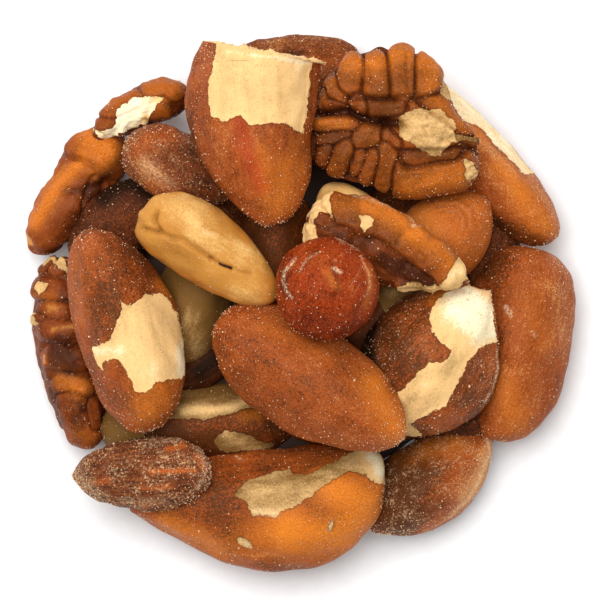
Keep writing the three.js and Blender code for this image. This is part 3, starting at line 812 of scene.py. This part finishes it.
class Wiring:
    """Adds nodes to a node tree and joins them up."""

    def __init__(self, tree):
        self.tree = tree

    def add(self, kind, inputs=(), output=0, **settings):
        node = self.tree.nodes.new(kind)
        for key, value in settings.items():
            setattr(node, key, value)
        for key, value in dict(inputs).items():
            self.set(node.inputs[key], value)
        return node.outputs[output]

    def set(self, socket, value):
        if isinstance(value, bpy.types.NodeSocket):
            self.tree.links.new(value, socket)
        elif hasattr(value, "__len__") and len(value) == 3 and socket.type == "RGBA":
            socket.default_value = (*value, 1)
        else:
            socket.default_value = value

    def attribute(self, name, output="Fac"):
        return self.add("ShaderNodeAttribute", output=output, attribute_name=name)

    def math(self, operation, a, b, clamp=False):
        return self.add("ShaderNodeMath", {0: a, 1: b}, operation=operation, use_clamp=clamp)

    def plus(self, *values):
        return reduce(lambda a, b: self.math("ADD", a, b), values)

    def times(self, *values):
        return reduce(lambda a, b: self.math("MULTIPLY", a, b), values)

    def mix(self, factor, a, b):
        """Of a Mix node's inputs, 6 and 7 are its two colours, and output 2 is the mixed one."""
        return self.add("ShaderNodeMix", {0: factor, 6: a, 7: b}, 2, data_type="RGBA",
                        clamp_factor=True)

    def ramp(self, value, low, high, to_low=0.0, to_high=1.0):
        return self.add("ShaderNodeMapRange", {"Value": value, "From Min": low, "From Max": high,
                        "To Min": to_low, "To Max": to_high}, interpolation_type="SMOOTHSTEP")

    def noise(self, vector, scale, detail=2.0, roughness=0.5):
        return self.add("ShaderNodeTexNoise", {"Vector": vector, "Scale": scale, "Detail": detail,
                        "Roughness": roughness})

    def bump(self, height, strength):
        return self.add("ShaderNodeBump", {"Height": height, "Strength": strength,
                        "Distance": BUMP_DISTANCE})

    def stretched(self, vector, along):
        return self.add("ShaderNodeVectorMath", {0: vector, 1: (along, 1, 1)}, operation="MULTIPLY")

    def group(self, tree, inputs):
        node = self.tree.nodes.new("ShaderNodeGroup")
        node.node_tree = tree
        for key, value in inputs.items():
            self.set(node.inputs[key], value)
        return node.outputs


def effect(name, inputs, outputs):
    """A new shader node group with its sockets, its wiring and its input and output nodes."""
    tree = bpy.data.node_groups.new(name, "ShaderNodeTree")
    kinds = {"vector": "NodeSocketVector", "value": "NodeSocketFloat", "colour": "NodeSocketColor"}
    for socket, kind in inputs.items():
        tree.interface.new_socket(socket, in_out="INPUT", socket_type=kinds[kind])
    for socket, kind in outputs.items():
        tree.interface.new_socket(socket, in_out="OUTPUT", socket_type=kinds[kind])
    given = tree.nodes.new("NodeGroupInput").outputs
    result = tree.nodes.new("NodeGroupOutput").inputs
    return tree, Wiring(tree), given, result


def salt_effect():
    """Salt dust: in each cell of a Voronoi pattern a speck, kept where a random draw is below the
    amount, in a coarse and a fine layer, and a thin film of dust where the amount is large."""
    tree, wire, given, result = effect("Salt dust", {"Vector": "vector", "Amount": "value"},
                                    {"Mask": "value"})
    patches = wire.noise(given["Vector"], 0.35, 3.0)
    amount = wire.times(given["Amount"], wire.ramp(patches, 0.35, 0.7, 0.3, 1.4))
    warped = wire.add("ShaderNodeVectorMath", {0: given["Vector"], 1: wire.add(
        "ShaderNodeTexNoise", {"Vector": given["Vector"], "Scale": 4.0}, 1)}, operation="ADD")
    masks = []
    for scale, radius, share in ((2.0, 0.2, 0.2), (3.4, 0.3, 0.6)):
        cell = wire.add("ShaderNodeTexVoronoi", {"Vector": warped, "Scale": scale}).node
        spot = wire.ramp(cell.outputs["Distance"], radius, radius * 0.4)
        draw = wire.add("ShaderNodeSeparateColor", {0: cell.outputs["Color"]}).node
        kept = wire.math("LESS_THAN", draw.outputs[0], wire.times(amount, share))
        faint = wire.ramp(draw.outputs[1], 0.2, 1.0, 0.3, 0.9)
        masks.append(wire.times(spot, kept, faint))
    film = wire.ramp(wire.noise(given["Vector"], 2.3, 3.0, 0.65), 0.48, 0.62)
    film = wire.times(film, wire.ramp(amount, 1.2, 4.5, 0.0, 0.75))
    wire.set(result["Mask"], wire.math("MAXIMUM", wire.math("MAXIMUM", *masks), film))
    return tree


def skin_effect():
    """Roasted skin: cloudy colour from deep to light with a fine grain, streaks along the nut,
    and orange where it glows."""
    tree, wire, given, result = effect(
        "Roasted skin",
        {"Vector": "vector", "Stain and shading": "value", "Glow": "value", "Fibre": "value", "Grain": "value",
         "Deep": "colour", "Middle": "colour", "Light": "colour", "Orange": "colour"},
        {"Color": "colour", "Height": "value"})
    clouds = wire.noise(wire.stretched(given["Vector"], 0.6), 0.28, 3.0)
    specks = wire.noise(given["Vector"], 1.9, 3.0, 0.6)
    grain = wire.noise(given["Vector"], 3.6, 3.0, 0.65)
    streaks = wire.noise(wire.stretched(given["Vector"], 0.12), 1.8, 3.0, 0.6)
    cloudy = wire.ramp(clouds, 0.3, 0.7, -0.3, 0.3)
    fine = wire.plus(wire.ramp(specks, 0.25, 0.75, -0.4, 0.35), wire.ramp(grain, 0.25, 0.75, -0.8, 0.85))
    streaky = wire.ramp(streaks, 0.3, 0.7, -0.6, 0.6)
    tone = wire.plus(given["Stain and shading"], cloudy, wire.times(fine, given["Grain"]),
                     wire.times(streaky, given["Fibre"]))
    colour = wire.mix(wire.ramp(tone, -1.2, 0.0), given["Deep"], given["Middle"])
    colour = wire.mix(wire.ramp(tone, 0.0, 1.3), colour, given["Light"])
    glow = wire.times(given["Glow"], wire.ramp(grain, 0.25, 0.7, 0.45, 1.1))
    wire.set(result["Color"], wire.mix(glow, colour, given["Orange"]))
    fibres = wire.times(wire.plus(streaks, -0.5), given["Fibre"])
    wire.set(result["Height"], wire.plus(fibres, wire.times(grain, 0.5), wire.times(specks, 0.6)))
    return tree


def flesh_effect():
    """Peeled flesh: cream, whiter or tanner with the stain and painted shading, with faint clouds and a
    few dots.
    """
    tree, wire, given, result = effect(
        "Peeled flesh",
        {"Vector": "vector", "Stain and shading": "value", "Cream": "colour", "White": "colour", "Tan": "colour"},
        {"Color": "colour", "Height": "value"})
    clouds = wire.noise(wire.stretched(given["Vector"], 0.4), 0.5, 4.0, 0.6)
    fine = wire.noise(given["Vector"], 3.0, 3.0, 0.6)
    tone = wire.plus(given["Stain and shading"], wire.ramp(clouds, 0.3, 0.7, -0.18, 0.18),
                     wire.ramp(fine, 0.3, 0.7, -0.15, 0.15))
    colour = wire.mix(wire.ramp(tone, -1.3, 0.1), given["Tan"], given["Cream"])
    colour = wire.mix(wire.ramp(tone, 0.1, 0.9), colour, given["White"])
    cell = wire.add("ShaderNodeTexVoronoi", {"Vector": given["Vector"], "Scale": 0.75}).node
    dot = wire.ramp(cell.outputs["Distance"], 0.1, 0.05, 0.0, 0.4)
    wire.set(result["Color"], wire.mix(dot, colour, given["Tan"]))
    wire.set(result["Height"], wire.plus(wire.times(clouds, 0.6), wire.times(fine, 0.4)))
    return tree


def peel_effect():
    """A torn edge: the distance inside the patch, roughened by noise, is cut at nothing. The rim
    is a narrow band just outside that edge."""
    tree, wire, given, result = effect("Torn edge", {"Vector": "vector", "Peel": "value"},
                                    {"Mask": "value", "Rim": "value"})
    ragged = wire.ramp(wire.noise(given["Vector"], 0.8, 3.0, 0.6), 0.2, 0.8, -0.28, 0.28)
    edge = wire.plus(given["Peel"], ragged)
    wire.set(result["Mask"], wire.ramp(edge, -0.06, 0.08))
    wire.set(result["Rim"], wire.times(wire.ramp(edge, -0.4, -0.05), wire.ramp(edge, 0.12, -0.02)))
    return tree


def nut_material(name, look, groups):
    """Skin over flesh with a torn edge between, painted shade in the hollows, slits and gaps, and dusted
    with salt and painted highlights.
    """
    material = bpy.data.materials.new(name)
    material.use_nodes = True
    tree = material.node_tree
    tree.nodes.clear()
    wire = Wiring(tree)
    grain = wire.attribute("grain", "Vector")
    skin = wire.group(groups["skin"], {
        "Vector": grain, "Stain and shading": wire.attribute("stain_and_shading"), "Glow": wire.attribute("glow"),
        "Fibre": wire.attribute("fibre"), "Grain": look["grain"], "Deep": look["deep"],
        "Middle": look["middle"], "Light": look["light"], "Orange": look["orange"]})
    flesh = wire.group(groups["flesh"], {
        "Vector": grain, "Stain and shading": wire.attribute("bare"), "Cream": look["cream"],
        "White": look["white"], "Tan": look["tan"]})
    torn = wire.group(groups["peel"], {"Vector": grain, "Peel": wire.attribute("peel")})
    salt = wire.group(groups["salt"], {"Vector": grain, "Amount": wire.attribute("salt")})

    # Painted shade: the hollows and the crack marks darken the colour, and the deepest slits and gaps go
    # darkest.
    depth = wire.attribute("painted_shade")
    painted_shade = wire.math("MULTIPLY", depth, look["painted_shade"], clamp=True)
    colour = wire.mix(wire.attribute("red"), skin["Color"], look["red"])
    colour = wire.mix(painted_shade, colour, look["painted_shade_colour"])
    colour = wire.mix(wire.ramp(depth, 0.9, 2.0), colour, look["deepest_shade"])
    colour = wire.mix(wire.times(torn["Rim"], 0.35), colour, look["deep"])
    colour = wire.mix(torn["Mask"], colour, flesh["Color"])
    # Dust marks: salt dust, and in places painted highlights.
    clumps = wire.ramp(wire.noise(grain, 2.6, 4.0, 0.75), 0.42, 0.6)
    dust_and_highlights = wire.times(wire.ramp(wire.attribute("dust_and_highlights"), 0.0, 1.2), clumps)
    colour = wire.mix(wire.times(salt["Mask"], 0.7), colour, look["salt"])
    colour = wire.mix(wire.times(dust_and_highlights, 0.9), colour, look["dust_and_highlights"])
    height = wire.add("ShaderNodeMix", {0: torn["Mask"], 2: skin["Height"], 3: flesh["Height"]})
    height = wire.plus(height, wire.times(torn["Mask"], -SKIN_STEP), wire.times(salt["Mask"], SALT_STEP))
    bump = wire.bump(height, look["bump"])
    rough = wire.ramp(torn["Mask"], 0.0, 1.0, look["rough"], FLESH_ROUGHNESS)

    shader = tree.nodes.new("ShaderNodeBsdfPrincipled")
    wire.set(shader.inputs["Base Color"], colour)
    wire.set(shader.inputs["Roughness"], rough)
    wire.set(shader.inputs["Normal"], bump)
    for socket, value in dict(NUT_SHADER, **{"Specular IOR Level": look["gloss"]}).items():
        shader.inputs[socket].default_value = value
    output = tree.nodes.new("ShaderNodeOutputMaterial")
    tree.links.new(shader.outputs["BSDF"], output.inputs["Surface"])
    return material


def plain_material(name, colour, roughness, bump_scale=900.0):
    """One colour, lighter and darker in a fine noise, with a fine bump."""
    material = bpy.data.materials.new(name)
    material.use_nodes = True
    tree = material.node_tree
    wire = Wiring(tree)
    shader = tree.nodes["Principled BSDF"]
    place = wire.add("ShaderNodeTexCoord", output="Object")
    grain = wire.noise(place, bump_scale, 3.0)
    darker = tuple(0.97 * value for value in colour)
    wire.set(shader.inputs["Base Color"], wire.mix(wire.ramp(grain, 0.3, 0.7), darker, colour))
    wire.set(shader.inputs["Normal"], wire.bump(grain, 0.2))
    shader.inputs["Roughness"].default_value = roughness
    return material


# Colours that all kinds share. The darkest of them is the painted shade of deep slits and gaps,
# and the dust colour lays salt and also painted highlights.
SHARED = dict(cream=seen(236, 192, 128), white=seen(255, 241, 202), tan=seen(120, 84, 38),
              salt=seen(232, 186, 138), dust_and_highlights=seen(236, 204, 164), deepest_shade=seen(34, 16, 8),
              red=seen(176, 50, 22))

# Each kind's skin from deep to light, orange where it glows, the strength and colour of the
# painted shade in its hollows, slits and gaps, the strength of its fine grain and of its bumps,
# its roughness and its gloss.
LOOKS = {
    "brazil": dict(SHARED, deep=seen(82, 40, 14), middle=seen(154, 72, 25), light=seen(206, 140, 80),
                   orange=seen(222, 126, 36), painted_shade=0.5, painted_shade_colour=seen(80, 36, 18),
                   grain=0.75, bump=0.8, rough=0.5, gloss=0.18),
    "almond": dict(SHARED, deep=seen(64, 30, 14), middle=seen(114, 54, 24), light=seen(176, 114, 62),
                   orange=seen(206, 96, 26), painted_shade=0.5, painted_shade_colour=seen(58, 26, 14),
                   grain=1.0, bump=0.8, rough=0.6, gloss=0.14),
    "hazelnut": dict(SHARED, deep=seen(84, 24, 6), middle=seen(150, 54, 14), light=seen(202, 118, 56),
                     orange=seen(190, 108, 42), painted_shade=0.6, painted_shade_colour=seen(84, 28, 10),
                     grain=0.8, bump=0.6, rough=0.5, gloss=0.12),
    "cashew": dict(SHARED, deep=seen(136, 84, 30), middle=seen(190, 130, 56), light=seen(238, 194, 122),
                   orange=seen(180, 98, 22), painted_shade=0.45, painted_shade_colour=seen(134, 80, 24),
                   grain=0.3, bump=0.35, rough=0.45, gloss=0.2),
    "pecan": dict(SHARED, deep=seen(64, 26, 10), middle=seen(130, 60, 20), light=seen(204, 136, 62),
                  orange=seen(206, 114, 34), painted_shade=0.8, painted_shade_colour=seen(70, 28, 10),
                  grain=0.35, bump=0.5, rough=0.42, gloss=0.16),
}


# ---------------------------------------------------------------------------------------------
# Settings


class HeapDetails(bpy.types.PropertyGroup):
    """Sizes of the fine forms."""

    relief: bpy.props.FloatProperty(
        name="Relief", description="Height of the lumps and grooves, where 1 is as worked out",
        default=1.0, min=0.0, max=2.0, subtype="FACTOR")
    peel_depth: bpy.props.FloatProperty(
        name="Skin thickness", description="How far a peeled patch lies under the skin",
        default=0.00018, min=0.0, max=0.001, precision=5, unit="LENGTH")
    grains: bpy.props.IntProperty(
        name="Salt grains", description="Number of loose grains of salt on the nuts",
        default=15000, min=0, max=16000)
    grain_size: bpy.props.FloatProperty(
        name="Grain size", description="Width of a middling grain of salt",
        default=0.0001, min=0.00005, max=0.001, precision=5, unit="LENGTH")
    salt_colour: bpy.props.FloatVectorProperty(
        name="Salt", description="Colour of the salt grains", subtype="COLOR", size=3,
        default=seen(232, 190, 148))
    # The core's dark colour is painted shade in the gaps under the nuts.
    core_shade_colour: bpy.props.FloatVectorProperty(
        name="Core", description="Colour of the hidden core", subtype="COLOR", size=3,
        default=seen(52, 28, 16))


class StageSettings(bpy.types.PropertyGroup):
    """Floor, light and camera."""

    floor_colour: bpy.props.FloatVectorProperty(
        name="Floor", description="Colour of the floor", subtype="COLOR", size=3,
        default=(0.95, 0.95, 0.95))
    light_power: bpy.props.FloatProperty(
        name="Light", description="Power of the softbox over the heap", default=14.6, min=0.0,
        unit="POWER")
    sky: bpy.props.FloatProperty(
        name="Surroundings", description="Brightness of the even light from all around",
        default=0.5, min=0.0)
    camera_height: bpy.props.FloatProperty(
        name="Camera height", description="Height of the camera over the floor", default=4.0,
        min=0.5, unit="LENGTH")
    view_width: bpy.props.FloatProperty(
        name="View width", description="Width of the picture at the heap's middle height",
        default=0.1, min=0.05, unit="LENGTH")


# ---------------------------------------------------------------------------------------------
# Operators


def names_of(kind):
    return [name for name, nut in NUTS.items() if nut["kind"] == kind]


def effects():
    """The shared node groups, made the first time that they are asked for."""
    makers = {"skin": ("Roasted skin", skin_effect), "flesh": ("Peeled flesh", flesh_effect),
              "peel": ("Torn edge", peel_effect), "salt": ("Salt dust", salt_effect)}
    return {key: bpy.data.node_groups.get(name) or maker() for key, (name, maker) in makers.items()}


def build_kind(context, kind, pieces):
    material = nut_material(f"{kind} skin and flesh", LOOKS[kind], effects())
    for piece_name, names in pieces.items():
        add_nuts(piece_name, names, context.scene.heap_details, material)
    return {"FINISHED"}


class HEAP_OT_brazil_nuts(bpy.types.Operator):
    """Build the brazil nuts, those with peeled patches and those in whole skins"""

    bl_idname = "heap.brazil_nuts"
    bl_label = "Brazil nuts"

    def execute(self, context):
        peeled = [name for name in names_of("brazil") if "peel" in NUTS[name]]
        whole = [name for name in names_of("brazil") if "peel" not in NUTS[name]]
        pieces = {"brazil_nuts_peeled": peeled, "brazil_nuts_whole": whole}
        return build_kind(context, "brazil", pieces)


class HEAP_OT_almonds(bpy.types.Operator):
    """Build the almonds"""

    bl_idname = "heap.almonds"
    bl_label = "Almonds"

    def execute(self, context):
        return build_kind(context, "almond", {"almonds": names_of("almond")})


class HEAP_OT_hazelnuts(bpy.types.Operator):
    """Build the hazelnuts"""

    bl_idname = "heap.hazelnuts"
    bl_label = "Hazelnuts"

    def execute(self, context):
        return build_kind(context, "hazelnut", {"hazelnuts": names_of("hazelnut")})


class HEAP_OT_cashews(bpy.types.Operator):
    """Build the cashews"""

    bl_idname = "heap.cashews"
    bl_label = "Cashews"

    def execute(self, context):
        return build_kind(context, "cashew", {"cashews": names_of("cashew")})


class HEAP_OT_pecans(bpy.types.Operator):
    """Build the pieces of pecan"""

    bl_idname = "heap.pecans"
    bl_label = "Pecan pieces"

    def execute(self, context):
        return build_kind(context, "pecan", {"pecans": names_of("pecan")})


class HEAP_OT_core(bpy.types.Operator):
    """Build the low dark core that closes the gaps under the nuts, its dark colour painted shade"""

    bl_idname = "heap.core"
    bl_label = "Core"

    def execute(self, context):
        a = np.linspace(0, np.pi, CORE_ROWS + 1)[:, None]
        v = np.linspace(0, 2 * np.pi, CORE_SIDES, endpoint=False)[None, :]
        radius = CORE_RADIUS * np.sin(a)
        dome = np.where(a < np.pi / 2, 0, CORE_HEIGHT * np.abs(np.cos(a)))
        points = np.stack([radius * np.cos(v), radius * np.sin(v), CORE_LEVEL + dome + 0 * v], axis=-1)
        length, height = CORE_LUMPS
        points[..., 2] += height * waves(points, length, CORE_SEED) * np.sin(a) * (points[..., 2] > 1)
        triangles = shell_triangles(CORE_ROWS, CORE_SIDES)[:, ::-1]
        material = plain_material("hidden core", context.scene.heap_details.core_shade_colour, 0.8)
        new_piece("core", without_spare_poles(points), triangles, {}, material)
        return {"FINISHED"}


# Salt lies on the upper sides, and this share of it on the undersides too.
UNDERSIDE_SALT = 0.15
SALT_SEED = 11

# The grains: the spread of their sizes, their sides as shares of the size, how far their corners
# lie out of square, how far their middles lie off the nuts' points in millimetres, and how far
# out of the skin, as a share of the size.
GRAIN_SPREAD = 0.3
GRAIN_SIDES = (0.7, 1.2)
GRAIN_SKEW = 0.12
GRAIN_JITTER = 0.15
GRAIN_RISE = 0.15


class HEAP_OT_salt(bpy.types.Operator):
    """Scatter grains of salt on the nuts, more where a nut is saltier"""

    bl_idname = "heap.salt"
    bl_label = "Salt grains"

    def execute(self, context):
        details = context.scene.heap_details
        spots, ways, amounts = [], [], []
        salted = [mesh for mesh in bpy.data.meshes if "salt" in mesh.attributes]
        for mesh in salted:
            count = len(mesh.vertices)
            place, way, amount = np.empty(count * 3), np.empty(count * 3), np.empty(count)
            mesh.vertices.foreach_get("co", place)
            mesh.vertices.foreach_get("normal", way)
            mesh.attributes["salt"].data.foreach_get("value", amount)
            spots.append(place.reshape(-1, 3) / MM)
            ways.append(way.reshape(-1, 3))
            amounts.append(amount)
        if not spots:
            raise RuntimeError("the nuts have to be built before the salt")
        spots, ways, amounts = np.vstack(spots), np.vstack(ways), np.concatenate(amounts)
        draw = np.random.default_rng(SALT_SEED)
        weight = amounts * smooth(ways[:, 2], 0.0, 0.4) + UNDERSIDE_SALT * amounts
        chosen = draw.choice(len(spots), details.grains, replace=False, p=weight / weight.sum())
        points, triangles = grains_at(spots[chosen], ways[chosen], details.grain_size / MM, draw)
        material = plain_material("salt", details.salt_colour, 0.35)
        new_piece("salt_grains", points, triangles, {}, material)
        return {"FINISHED"}


def grains_at(spots, ways, size, draw):
    """Small skewed boxes: corner = middle + R * scale * (+-1/2, +-1/2, +-1/2) with a jitter on
    each, where R is a random rotation from the QR form of a random matrix."""
    count = len(spots)
    corners = np.array([[x, y, z] for x in (-0.5, 0.5) for y in (-0.5, 0.5) for z in (-0.5, 0.5)])
    turns, _ = np.linalg.qr(draw.normal(size=(count, 3, 3)))
    turns *= np.sign(np.linalg.det(turns))[:, None, None]
    scale = size * draw.lognormal(0, GRAIN_SPREAD, size=(count, 1, 1))
    scale = scale * draw.uniform(*GRAIN_SIDES, size=(count, 1, 3))
    skewed = (corners + draw.uniform(-GRAIN_SKEW, GRAIN_SKEW, size=(count, 8, 3))) * scale
    jitter = draw.uniform(-GRAIN_JITTER, GRAIN_JITTER, size=(count, 3))
    middle = spots + jitter + ways * size * GRAIN_RISE
    points = middle[:, None] + np.einsum("nij,nkj->nki", turns, skewed)
    sides = np.array([[0, 1, 3], [0, 3, 2], [4, 6, 7], [4, 7, 5], [0, 4, 5], [0, 5, 1],
                      [2, 3, 7], [2, 7, 6], [0, 2, 6], [0, 6, 4], [1, 5, 7], [1, 7, 3]])
    triangles = sides[None] + 8 * np.arange(count)[:, None, None]
    return points.reshape(-1, 3), triangles.reshape(-1, 3)


# The stage, in metres. The picture is as wide as is set at the height of the heap's middle.
FLOOR_HALF_WIDTH = 4.0
FLOOR_LEVEL = -0.00005
SOFTBOX_WIDTH = 1.1
SOFTBOX_PLACE = (-0.2, 0.3, 1.0)
HEAP_MIDDLE = 0.012
PICTURE_MIDDLE = (300, 300)


class HEAP_OT_stage(bpy.types.Operator):
    """Build the pale floor, the soft light and the camera straight above"""

    bl_idname = "heap.stage"
    bl_label = "Stage"

    def execute(self, context):
        settings = context.scene.heap_stage
        mesh = bpy.data.meshes.new("floor")
        corners = [(-1, -1), (1, -1), (1, 1), (-1, 1)]
        points = [(x * FLOOR_HALF_WIDTH, y * FLOOR_HALF_WIDTH, FLOOR_LEVEL) for x, y in corners]
        mesh.from_pydata(points, [], [(0, 1, 2, 3)])
        mesh.materials.append(plain_material("floor", settings.floor_colour, 0.9, 400.0))
        floor = bpy.data.objects.new("floor", mesh)
        context.scene.collection.objects.link(floor)

        softbox = bpy.data.lights.new("softbox", "AREA")
        softbox.shape = "DISK"
        softbox.size = SOFTBOX_WIDTH
        softbox.energy = settings.light_power
        lamp = bpy.data.objects.new("softbox", softbox)
        x, y, z = lamp.location = SOFTBOX_PLACE
        lamp.rotation_euler = (np.arctan2(np.hypot(x, y), z), 0, np.arctan2(y, x) + np.pi / 2)
        context.scene.collection.objects.link(lamp)

        world = bpy.data.worlds.new("studio")
        world.use_nodes = True
        background = world.node_tree.nodes["Background"]
        background.inputs["Color"].default_value = (1, 1, 1, 1)
        background.inputs["Strength"].default_value = settings.sky
        context.scene.world = world

        camera = bpy.data.cameras.new("camera")
        distance_to_heap = settings.camera_height - HEAP_MIDDLE
        camera.lens = camera.sensor_width * distance_to_heap / settings.view_width
        camera.clip_end = 20.0
        view = bpy.data.objects.new("camera", camera)
        view.location = (*plan(PICTURE_MIDDLE)[0] * MM, settings.camera_height)
        context.scene.collection.objects.link(view)
        context.scene.camera = view
        context.scene.view_settings.view_transform = "Standard"
        return {"FINISHED"}


OPERATORS = (HEAP_OT_brazil_nuts, HEAP_OT_almonds, HEAP_OT_hazelnuts, HEAP_OT_cashews,
             HEAP_OT_pecans, HEAP_OT_core, HEAP_OT_salt, HEAP_OT_stage)


class HEAP_PT_panel(bpy.types.Panel):
    """The heap's settings and its pieces"""

    bl_label = "Mixed nuts"
    bl_space_type = "VIEW_3D"
    bl_region_type = "UI"
    bl_category = "Mixed nuts"

    def draw(self, context):
        for settings in (context.scene.heap_details, context.scene.heap_stage):
            for name in settings.bl_rna.properties.keys():
                if name not in ("rna_type", "name"):
                    self.layout.prop(settings, name)
        for operator in OPERATORS:
            self.layout.operator(operator.bl_idname)


CLASSES = (HeapDetails, StageSettings, *OPERATORS, HEAP_PT_panel)


def register():
    for item in CLASSES:
        bpy.utils.register_class(item)
    bpy.types.Scene.heap_details = bpy.props.PointerProperty(type=HeapDetails)
    bpy.types.Scene.heap_stage = bpy.props.PointerProperty(type=StageSettings)


def unregister():
    del bpy.types.Scene.heap_details
    del bpy.types.Scene.heap_stage
    for item in reversed(CLASSES):
        bpy.utils.unregister_class(item)


def main():
    register()
    for operator in OPERATORS:
        group, name = operator.bl_idname.split(".")
        getattr(getattr(bpy.ops, group), name)()


if __name__ == "__main__":
    main()
